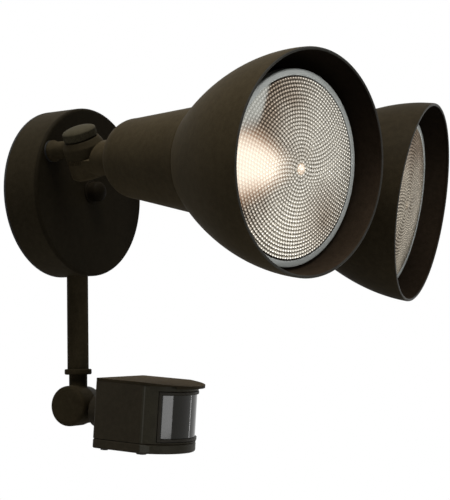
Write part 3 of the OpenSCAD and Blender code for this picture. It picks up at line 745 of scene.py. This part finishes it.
# %% Canopy and cap nut
CANOPY_R, CANOPY_INNER_R = 61, 59.4
CANOPY_DEPTH, FACE_BACK, GASKET = 30, 28.2, 1.5
ROD_HOLE, ARM_HOLE, TUBE_HOLE = 5.2, 5.2, 7.8
NUT_R, NUT_BORE, NUT_FLANGE_R, NUT_SHOULDER = 7.2, 5, 8.4, 6.6
canopy_line = [
    (CANOPY_INNER_R, GASKET), (CANOPY_R, GASKET), (CANOPY_R, CANOPY_DEPTH), (ROD_HOLE, CANOPY_DEPTH),
    (ROD_HOLE, FACE_BACK), (CANOPY_INNER_R, FACE_BACK), (CANOPY_INNER_R, GASKET)]
canopy = turned("canopy_cup", soft(canopy_line, {1: 0.4, 2: 2.4, 3: 0.4, 5: 1.2}), steps=160)
put(canopy, wall_place)
for side in (LEFT, RIGHT):
    carve(canopy, rod(ARM_HOLE, 20, 40, wall_place @ shift(side * ARM_X, ARM_Z, 0)))
carve(canopy, rod(TUBE_HOLE, -70, -30, tube_place))
fit(canopy, "base", "bronze_paint", CANOPY_SHADED_COAT, "canopy")

acorn = turned("acorn_nut", [
    (0, 7.4), (NUT_BORE, 7.4), (NUT_BORE, 0), (NUT_FLANGE_R, 0), (NUT_FLANGE_R, 0.8), (8.1, 1.25),
    (NUT_R, 1.5), (NUT_R, NUT_SHOULDER), *dome_line(NUT_R, NUT_SHOULDER, 4.4, (12, 24, 36, 48, 60, 72, 82)),
    (0, 11)], steps=64)
put(acorn, shift(0, -CANOPY_DEPTH, 0) @ wall_place)
fit(acorn, "base", "cap_paint", NUT_SHADED_COAT, "cap_nut", angle=50)

# %% [markdown]
# Each arm is one small casting: a stub out of the canopy, and the upper half of
# the knuckle. Its corners are soft where the metal was cast, and crisp where it was
# machined. So the rough shapes are melted together first, with voxels of half a
# millimetre, and the joint face and the bores are cut last.

# %% Arms
STUB_R, STUB_BORE, SCREW_HOLE = 6.2, 3.4, 3.3
JOINT_FACE = -4.85
DISC = [(0, -7), (14.25, -7), (14.25, 2.2), (12.1, 6.5), (0, 6.5)]
SHOULDER = [(0, 31.2), (7.6, 31.2), (7.6, 33.3), (6.2, 34.8), (0, 34.8)]
THREAD = [(STUB_BORE, 19), (4.6, 19), *[(r, 19.4 + 0.5 * i) for i, r in enumerate([4.9, 4.55] * 11)],
          (4.9, 31.4), (STUB_BORE, 31.4), (STUB_BORE, 19)]
for side in (LEFT, RIGHT):
    tag = SIDE_NAME[side]
    here = arm_place(side)
    stub_place = here @ shift(0, PIVOT_OUT, 0) @ wall_place
    disc = put(turned("disc", DISC), here)
    shoulder = put(turned("shoulder", SHOULDER), stub_place)
    arm = melted("arm_casting_" + tag, 0.55, 2, disc, shoulder, rod(STUB_R, 31.2, 53, stub_place))
    carve(arm,
          rod(20, -20, JOINT_FACE, here),
          rod(SCREW_HOLE, -20, 20, here),
          rod(STUB_BORE, 25, 45, stub_place))
    thread = put(turned("thread", THREAD, 48), stub_place)
    arm = joined("arm_casting_" + tag, arm, thread)
    fit(arm, "arm_body_" + tag, "bronze_paint", BRONZE, "arm_" + tag, angle=50)

# %% [markdown]
# A knob clamps each knuckle. It is a low drum with a domed head and fine flutes
# for the fingers. One flute is a thin rod; copies of it are set round the drum and
# cut out together.

# %% Knobs
KNOB_R, KNOB_EDGE, KNOB_TOP, FLUTES = 11.8, 19.2, 22.4, 48
KNOB = [(0, -8), (2.5, -8), (3, -7.5), (3, 13.7), (7.3, 13.7), (7.3, 14.4), (11.2, 14.4), (KNOB_R, 15.0),
        (KNOB_R, KNOB_EDGE), *dome_line(KNOB_R, KNOB_EDGE, KNOB_TOP - KNOB_EDGE, range(10, 90, 10)),
        (0, KNOB_TOP)]
for side in (LEFT, RIGHT):
    tag = SIDE_NAME[side]
    knob = turned("knob_head_" + tag, KNOB, steps=128)
    flutes = joined("flutes", *[
        rod(0.5, 13, 18.9, turn(number * 360 / FLUTES + 1.3, "Z") @ shift(KNOB_R + 0.25, 0, 0), steps=10)
        for number in range(FLUTES)])
    carve(knob, flutes)
    put(knob, arm_place(side) @ shift(0, 0, -ARM_RISE))
    fit(knob, "knob_body_" + tag, "bronze_paint", KNOB_LIT_COAT, "knob_" + tag)

# %% [markdown]
# The lamp holder is the second casting: the lower half of the knuckle, a boss, and
# a neck that widens towards the hood. The neck is round, so it is spun, with its
# wall and the spigot that enters the hood. The knuckle and its boss are melted and
# cut flat. The fine upright marks below the joint are the knuckle's teeth: a crown
# of sixty, stamped from its own outline, which sits in a pocket of the casting.

# %% Lamp holders
NECK_END, SPIGOT_END = 118, 122
NECK = [
    (0, 31), (12, 31), (12.15, 33.4), (12.7, 34.9), (13.8, 35.9),
    *arc((9, 53.4), 18, -70, 0, 14), (35.3, NECK_END - 0.7), (35.0, NECK_END), (33.5, NECK_END),
    (33.5, SPIGOT_END), (31.5, SPIGOT_END), *arc((9, 53.4), 16, 0, -90, 14), (0, 37.4)]
DRUM = [(0, -13.5), (11.9, -13.5), (13.85, -11.5), (13.85, 4), (0, 4)]
CROWN_LOW, CROWN_TOP = -1.1, 1.85
TEETH, TIP_R, ROOT_R = 60, 13.85, 13.3
ONE_TOOTH = ((0, TIP_R), (3.6, TIP_R), (3.9, ROOT_R), (5.7, ROOT_R))
CROWN = [around(radius, tooth * 360 / TEETH + angle)
         for tooth in range(TEETH) for angle, radius in ONE_TOOTH]
neck = turned("neck", NECK, steps=128)
for side in (LEFT, RIGHT):
    tag = SIDE_NAME[side]
    here = pivot_place(side)
    drum = put(turned("drum", DRUM), here)
    knuckle = melted("lower_knuckle", 0.55, 3, drum, rod(12.1, 4, 32, lamp_place(side)))
    carve(knuckle,
          rod(20, CROWN_TOP, 30, here),
          rod(TIP_R + 0.1, CROWN_LOW, 30, here),
          rod(SCREW_HOLE, -9, 10, here))
    crown = carve(stamped("crown", CROWN, CROWN_LOW, CROWN_TOP), rod(SCREW_HOLE, -3, 4))
    knuckle = joined("lower_knuckle", knuckle, put(crown, here))
    body = put(copied(neck, "neck_copy"), lamp_place(side))
    holder = joined("lamp_holder_" + tag, knuckle, body)
    fit(holder, "head_" + tag, "bronze_paint", HOOD_LIT_COAT, "holder_" + tag, angle=45)
bpy.data.objects.remove(neck)

# %% [markdown]
# The hood is a thin bell, spun from sheet. Its profile flares fast at first and
# ends level at the rim, which is one formula for the radius. The rim is rolled: a
# small bead stands inwards there and catches the light as a thin line, and the rim
# is painted paler as a painted highlight. The inside and the rim are picked out face
# by face: the inside has the lamp's warm light painted low down and painted shade
# towards the top. The right hood is painted darker, painted shade from the left hood.

# %% Hoods
HOOD_BACK, HOOD_FRONT, HOOD_WALL = 118, 203.6, 1.6
HOOD_BACK_R, RIM_R, FLARE = 35.4, 68.6, 1.92
RIM_FROM = 202.9


def hood_radius(share):
    """The outer radius at a share of the hood's length."""
    return HOOD_BACK_R + (RIM_R - HOOD_BACK_R) * (1 - (1 - share) ** FLARE)


def hood_finish(face, coat):
    """The rim has a painted highlight and the inside painted light and shade; the rest gets the coat."""
    if face.center.z > RIM_FROM * MM:
        return RIM_HIGHLIGHT_COAT
    outwards = Vector((face.center.x, face.center.y, 0))
    return INSIDE_OF_HOOD_LIT_AND_SHADED if outwards.dot(face.normal) < 0 else coat


STEPS = [i / 36 for i in range(36)]
bell_out = [(hood_radius(t), HOOD_BACK + (HOOD_FRONT - HOOD_BACK) * t) for t in STEPS]
bell_in = [(r - HOOD_WALL, z) for r, z in reversed(bell_out)]
RIM = [(RIM_R, 202.5), (68.45, 203.2), (67.95, HOOD_FRONT), (67.2, HOOD_FRONT), (66.7, 203.2),
       (66.6, 202.5), (66.95, 201.9)]
bell = turned("bell", [(34.8, HOOD_BACK), (HOOD_BACK_R, HOOD_BACK + 0.6), *bell_out[1:], *RIM, *bell_in,
                       (34.8, HOOD_BACK)], steps=160)
for side in (LEFT, RIGHT):
    tag = SIDE_NAME[side]
    hood = copied(bell, "hood_bell_" + tag)
    # The right hood gets the darker copy, painted shade.
    coat = HOOD_LIT_COAT if side == LEFT else RIGHT_HOOD_SHADED_COAT
    parted(hood, [coat, INSIDE_OF_HOOD_LIT_AND_SHADED, RIM_HIGHLIGHT_COAT], lambda face: hood_finish(face, coat))
    put(hood, lamp_place(side))
    fit(hood, "head_" + tag, "bronze_paint", None, "hood_" + tag)
bpy.data.objects.remove(bell)

# %% [markdown]
# The lamp's front glass has three parts to the eye: a plain ring, a domed field,
# and some eighteen hundred small beads on that field in 24 rings. The ring and the
# field are spun. A bead is half of a small ball with few faces. For each ring one
# bead is set at its radius and spun into six more beads than in the ring before,
# which packs them evenly and gives the curved rows of the photograph.

# %% Front glasses
FIELD_R, GLASS_R, GLASS_BACK = 56.0, 59.8, 181.2
LENS_FRONT, LENS_RISE, GLASS_WALL = 187.4, 5.6, 3.5
RINGS, BEAD_R, NUB_R, BEAD_FLATNESS = 24, 1.22, 2.7, 0.62
BEAD_SINK, BED_DROP = 0.75, 0.6


def dome(radius, below):
    """A height on the domed glass, or below it, at a distance from its middle."""
    return LENS_FRONT - below + LENS_RISE * (1 - (radius / FIELD_R) ** 2)


def bead_ring(number):
    """One bead, spun into a ring; ring 0 is the nub in the middle."""
    quiet()
    radius = number * FIELD_R / (RINGS + 0.75)
    bpy.ops.mesh.primitive_ico_sphere_add(subdivisions=2, radius=(BEAD_R if number else NUB_R) * MM)
    bead = bpy.context.object
    bpy.ops.object.mode_set(mode="EDIT")
    bpy.ops.mesh.select_all(action="SELECT")
    bpy.ops.mesh.bisect(plane_co=(0, 0, 0.1 * MM), plane_no=(0, 0, 1), clear_inner=True)
    bpy.ops.mesh.select_all(action="SELECT")
    bpy.ops.transform.resize(value=(1, 1, BEAD_FLATNESS))
    bpy.ops.transform.translate(value=(radius * MM, 0, dome(radius, BEAD_SINK) * MM))
    if number:
        copies = 6 * number - 1
        bpy.ops.mesh.spin(steps=copies, dupli=True, angle=math.tau * copies / (copies + 1),
                          center=(0, 0, 0), axis=(0, 0, 1))
        quiet()
        swirl = sum(math.pi / (6 * k) for k in range(1, number + 1))
        put(bead, Matrix.Rotation(swirl, 4, "Z"))
    quiet()
    return bead


beads = joined("beads", *[bead_ring(number) for number in range(RINGS + 1)])
field_back = [(r, dome(r, BED_DROP + GLASS_WALL)) for r in (15, 30, 45, 54)]
field_front = [(r, dome(r, BED_DROP)) for r in range(54, -1, -6)]
field = turned("field", [(0, 188.9), *field_back, (54, GLASS_BACK), (FIELD_R, GLASS_BACK), (FIELD_R, 186.8),
                         *field_front])
ring_line = [(55.6, GLASS_BACK), (GLASS_R, GLASS_BACK), (GLASS_R, 187.5), (55.6, 187.7), (55.6, GLASS_BACK)]
ring = turned("ring", soft(ring_line, {1: 0.4, 2: 1.5, 3: 1.1}))
for side in (LEFT, RIGHT):
    tag = SIDE_NAME[side]
    for shape, name, finish in ((beads, "lens_beads_", BEADS[side]), (field, "lens_field_", BED[side]),
                                (ring, "lens_ring_", RING_GLASS)):
        glass = put(copied(shape, name + tag), bulb_place(side))
        fit(glass, "lamp_" + tag, "lens_glass", finish, "lamp_lens_" + tag, angle=60)
for shape in (beads, field, ring):
    bpy.data.objects.remove(shape)

# %% [markdown]
# A steel tube carries the sensor. A ring nut laps over its end and holds the neck,
# which turns in it. The neck ends in the outer cup of the sensor's knuckle.

# %% Tube, collar and sensor neck
TUBE_R, TUBE_BORE, TUBE_TOP, TUBE_END = 7.7, 6, -51.4, -129
COLLAR_R, COLLAR_BORE, COLLAR_TOP, COLLAR_END = 9.8, 6.8, -128, -132
CUP_R, CUP_INNER_R, SPIGOT_R, SPIGOT_BORE = 14.5, 14.1, 5.7, 3.5
CLAMP_HOLE = 2.8
tube_line = [(TUBE_BORE, TUBE_END), (TUBE_R, TUBE_END), (TUBE_R, TUBE_TOP), (TUBE_BORE, TUBE_TOP),
             (TUBE_BORE, TUBE_END)]
tube = put(turned("tube", soft(tube_line, {1: 0.4, 2: 0.4}, 3), 64), tube_place)
fit(tube, "base", "bronze_paint", BRONZE, "sensor_tube")

collar_line = [
    (COLLAR_BORE, COLLAR_END), (COLLAR_R, COLLAR_END), (COLLAR_R, COLLAR_TOP), (TUBE_R + 0.1, COLLAR_TOP),
    (TUBE_R + 0.1, TUBE_END), (COLLAR_BORE, TUBE_END), (COLLAR_BORE, COLLAR_END)]
collar = put(turned("collar", soft(collar_line, {1: 1.1, 2: 1.1}, 4), 72), tube_place)
fit(collar, "base", "bronze_paint", BRONZE, "sensor_collar")

cup_place = neck_place @ turn(-90, "Y")
cup = put(turned("cup", soft([(0, -2), (CUP_R, -2), (CUP_R, 15), (0, 15)], {2: 3.2}, 6)), cup_place)
stem = rod(6.6, 0, 24.9, neck_place)
sensor_neck = melted("sensor_neck_casting", 0.5, 3, cup, stem)
carve(sensor_neck,
      rod(CUP_INNER_R, 0.15, 30, neck_place @ turn(90, "Y")),
      rod(CLAMP_HOLE, -3, 11, cup_place),
      rod(SPIGOT_BORE, 16.4, 30, neck_place))
spigot_line = [(SPIGOT_BORE, 23), (SPIGOT_R, 23), (SPIGOT_R, 36.8), (5.3, 37.2), (SPIGOT_BORE, 37.2),
               (SPIGOT_BORE, 23)]
spigot = put(turned("spigot", spigot_line, 64), neck_place)
sensor_neck = joined("sensor_neck_casting", sensor_neck, spigot)
fit(sensor_neck, "sensor_swivel", "bronze_paint", BRONZE, "sensor_neck", angle=50)

# %% [markdown]
# The sensor's head is a moulded box with a curved front. One outline, seen from
# above, gives the housing, the lid and the cover, so it is a function of how far it
# is drawn in. Moulded plastic has no sharp edges: the upright corners are soft in
# the outline, and the rims get a fine bevel, which also draws the seam line.

# %% Sensor housing
HALF, BACK, FRONT_R, FRONT_C = 32, 34, 35.6, 57.8
SEAM, TOP, BOTTOM = -18.0, 23.7, -24.8
WINDOW_TOP, WINDOW_LOW = 15.5, -14.5
WALL = 2
POST_X, POST_Y, POST_R, POST_BORE = 25, -40, 3.4, 1.5


def head_line(inset, corner=2.0):
    """The outline from above, drawn in by a distance."""
    half, radius = HALF - inset, FRONT_R - inset
    lean = math.degrees(math.acos(half / radius))
    front = arc((0, -FRONT_C), radius, -lean, -180 + lean, 40)
    outline = [(-half, -BACK - inset), (half, -BACK - inset), *front]
    return soft(outline, {0: corner, 1: corner, 2: corner, len(outline) - 1: corner}, 5)


def sector(name, inner, outer, angle, low, high):
    """A curved slab on the head's round front."""
    return stamped(name, [*arc((0, -FRONT_C), outer, -90 - angle, -90 + angle, 48),
                          *arc((0, -FRONT_C), inner, -90 + angle, -90 - angle, 48)], low, high)


shell = stamped("sensor_shell", head_line(0), SEAM, TOP - WALL)
carve(shell, stamped("core", head_line(WALL), SEAM - 1, TOP))
carve(shell, sector("window_hole", 32, 38, 47.3, WINDOW_LOW - 2.4, WINDOW_TOP + 2.4))
bevelled(shell, 0.35, 50, 2)
link = melted("link", 0.5, 3,
              rod(11.6, 15.9, 36, shift(0, 0, -2) @ turn(90, "X")),
              rod(13.4, 0.3, 11.85, turn(90, "Y")),
              block((0.4, 11.7), (-17.9, 0), (-10, 5)))
carve(link, rod(CLAMP_HOLE, -1, 14, turn(90, "Y")), block((-40, 40), (-60, -35.5), (-30, 30)))
posts = []
for side in (LEFT, RIGHT):
    post_place = shift(side * POST_X, POST_Y, 0)
    post = rod(POST_R, SEAM, SEAM + 12, post_place, steps=32)
    posts.append(carve(post, rod(POST_BORE, SEAM - 1, SEAM + 10, post_place, steps=32)))
shell = joined("sensor_shell", shell, link, *posts)


def shell_finish(face):
    """The front is painted lighter and a little greener, as painted light, and its upright corners carry a
    painted highlight.
    """
    if face.center.y > -20 * MM or abs(face.normal.z) > 0.3 or face.normal.y > -0.05:
        return SENSOR_COAT
    corner = 0.82 < abs(face.normal.x) < 0.995 and face.area < 20 * MM * MM
    return EDGE_HIGHLIGHT_PLASTIC if corner else FRONT_LIT_PLASTIC


put(parted(shell, [SENSOR_COAT, FRONT_LIT_PLASTIC, EDGE_HIGHLIGHT_PLASTIC], shell_finish), head_place)
fit(shell, "sensor_head", "sensor_plastic", None, "sensor_housing", angle=40)

# %% [markdown]
# The lid closes the top and stands out over the window as a visor. It slopes down a
# little towards its nose, which a bisect through the solid plate gives, and a lip
# hangs under its edge to keep the rain off the window.

# %% Lid with its visor
VISOR_R, VISOR_C, DROP = 32.828, 66.07, 1.6
SLOPE_FROM, SLOPE_RUN = -73.4, 25.5
visor = arc((0, -VISOR_C), VISOR_R, -12.9, -167.1, 48)
plate_line = soft([(-HALF, -BACK), (HALF, -BACK), *visor], {0: 2.0, 1: 2.0, 2: 1.0, 50: 1.0}, 5)
lid = stamped("sensor_lid_plate", plate_line, TOP - WALL, TOP)
slope = math.atan(DROP / SLOPE_RUN)
pick(lid)
bpy.ops.object.mode_set(mode="EDIT")
bpy.ops.mesh.select_all(action="SELECT")
bpy.ops.mesh.bisect(plane_co=(0, SLOPE_FROM * MM, TOP * MM), use_fill=True, clear_outer=True,
                    plane_no=(0, -math.sin(slope), math.cos(slope)))
tidy()
bevelled(lid, 0.55, 30, 3)
plug = bevelled(stamped("plug", head_line(2.4), TOP - 3.5, TOP - 1.8), 0.3)
lip_line = [*arc((0, -VISOR_C), VISOR_R - 0.1, -52, -128, 40),
            *arc((0, -VISOR_C), VISOR_R - 1.6, -128, -52, 40)]
lip = bevelled(stamped("lip", lip_line, TOP - WALL - DROP, TOP - 1.9), 0.3)
lid = joined("sensor_lid_plate", lid, plug, lip)
# Painted light on the lid's top, painted shade on its edges and lip.
parted(lid, [LID_TOP_LIGHT, LID_SIDE_SHADE], lambda face: LID_TOP_LIGHT if face.normal.z > 0.8 else LID_SIDE_SHADE)
put(lid, head_place)
fit(lid, "sensor_head", "sensor_plastic", None, "sensor_lid", angle=40)

# %% [markdown]
# The cover closes the bottom below the seam. Its lower rim is rounded, and two
# holes let the setting dials through. The dials are slotted for a screwdriver.

# %% Cover and dials
DIAL_X, DIAL_Y, DIAL_R, DIAL_HOLE, STEM_R = 18, -66, 4, 4.3, 1.6
cover = stamped("sensor_cover_shell", head_line(0), BOTTOM, SEAM)
bevelled(cover, 1.3, 50, 4)
carve(cover, stamped("pocket", head_line(WALL), BOTTOM + WALL, SEAM + 1))
for side in (LEFT, RIGHT):
    carve(cover,
          rod(DIAL_HOLE, BOTTOM - 1, SEAM, shift(side * DIAL_X, DIAL_Y, 0)),
          rod(POST_BORE, BOTTOM - 1, SEAM, shift(side * POST_X, POST_Y, 0), steps=32))
put(parted(cover, [SENSOR_COAT, FRONT_LIT_PLASTIC, EDGE_HIGHLIGHT_PLASTIC], shell_finish), head_place)
fit(cover, "sensor_head", "sensor_plastic", None, "sensor_cover", angle=40)

dial_line = soft([
    (0, BOTTOM - 2.2), (3.8, BOTTOM - 2.2), (DIAL_R, BOTTOM + 2.5), (STEM_R, BOTTOM + 2.5),
    (STEM_R, -19), (0, -19)], {1: 1.0, 2: 0.3}, 3)
for side, node, body in ((LEFT, "dial_time", "time_dial"), (RIGHT, "dial_range", "range_dial")):
    dial = turned(node + "_cap", dial_line, 48)
    carve(dial, block((-6, 6), (-0.6, 0.6), (BOTTOM - 5, BOTTOM - 1.4)))
    put(dial, head_place @ shift(side * DIAL_X, DIAL_Y, 0))
    fit(dial, body, "dial_plastic", BLACK_PLASTIC, node)

# %% [markdown]
# The window is a curved strip of dark, glossy plastic that lets heat rays through,
# in a slim frame. Both follow the round front, so both are sectors of a ring.

# %% Window and its frame
FRAME_W, OPENING = 2.1, 43.5
bezel = sector("window_frame", 33.6, 36.0, 46.9, WINDOW_LOW - FRAME_W, WINDOW_TOP + FRAME_W)
carve(bezel, sector("opening", 30, 38, OPENING, WINDOW_LOW, WINDOW_TOP))
bevelled(bezel, 0.35, 50, 2)
put(bezel, head_place)
fit(bezel, "sensor_head", "bezel_plastic", BEZEL_PLASTIC, "sensor_bezel", angle=40)
window = sector("dark_window_strip", 33.8, 34.8, OPENING - 0.2, WINDOW_LOW + 0.1, WINDOW_TOP - 0.1)
bevelled(window, 0.2, 50, 2)
put(window, head_place)
fit(window, "sensor_head", "window_plastic", WINDOW_GLOSS, "sensor_lens", angle=40)
print("all seen pieces are on their bodies")

# %% [markdown]
# The studio is plain: a pale floor well below the light, and a white surround. It
# is white to the camera and to reflections, and dim as a source of light, so the
# brown stays as dark as it is. In the studio, lengths are in metres.

# %% Floor and surround
FLOOR_SIZE, FLOOR_Z = 3.4, -0.62
WHITE, PAPER = (1.0, 1.0, 1.0), (0.80, 0.80, 0.80)
PAPER_GLOW, DIM = 0.40, 0.08
quiet()
bpy.ops.mesh.primitive_plane_add(size=FLOOR_SIZE, location=(0, 0, FLOOR_Z))
floor = bpy.context.object
floor.name = "studio_floor"
bpy.ops.object.transform_apply(location=True)
floor_finish = Finish("floor_paper")
ray = floor_finish.node("ShaderNodeLightPath", output="Is Camera Ray")
paper = floor_finish.node("ShaderNodeBsdfDiffuse", {}, {"Color": PAPER})
shine = floor_finish.node("ShaderNodeEmission", {}, {"Color": WHITE, "Strength": ray * PAPER_GLOW})
both = floor_finish.node("ShaderNodeAddShader", {}, {0: paper, 1: shine})
floor_finish.node("ShaderNodeOutputMaterial", {}, {"Surface": both})
floor.data.materials.append(floor_finish.material)

world = bpy.data.worlds.new("white_surround")
bpy.context.scene.world = world
world.use_nodes = True
world.node_tree.nodes.clear()


class Surround(Finish):
    """The same helper, for the world's own node tree."""

    def __init__(self, world):
        self.material, self.tree = world, world.node_tree


surround = Surround(world)
paths = [surround.node("ShaderNodeLightPath", output=name)
         for name in ("Is Camera Ray", "Is Glossy Ray", "Is Transmission Ray")]
seen = (paths[0] + paths[1] + paths[2]).clamp()
sky = surround.node("ShaderNodeBackground", {}, {
    "Color": WHITE, "Strength": DIM + (1.0 - DIM) * seen})
surround.node("ShaderNodeOutputWorld", {}, {"Surface": sky})
print("floor at", FLOOR_Z, "and surround ready")

# %% [markdown]
# A large soft lamp hangs above, to the left, and lights the tops. A low wide one in
# front draws the pale strip in the sensor's window by its reflection, and a slim
# upright one on the right draws the thin bright line there.

# %% Lamps
def soft_lamp(name, place, aim, width, height, power, colour=(1, 1, 1)):
    """A soft box at place that shines towards aim."""
    data = bpy.data.lights.new(name, "AREA")
    data.shape = "RECTANGLE"
    data.size = width
    data.size_y = height
    data.energy = power
    data.color = colour
    lamp = bpy.data.objects.new(name, data)
    bpy.context.scene.collection.objects.link(lamp)
    lamp.location = place
    lamp.rotation_euler = (Vector(aim) - Vector(place)).to_track_quat("-Z", "Y").to_euler()


MIDDLE = (0, -0.12, -0.05)
soft_lamp("top_box", (-0.46, -0.30, 1.5), MIDDLE, 0.9, 0.9, 32, (1.0, 0.97, 0.92))
soft_lamp("front_box", (-0.24, -2.05, -0.45), MIDDLE, 0.95, 0.24, 6.6)
soft_lamp("side_strip", (1.85, -0.86, -0.47), MIDDLE, 0.05, 0.6, 0.9)
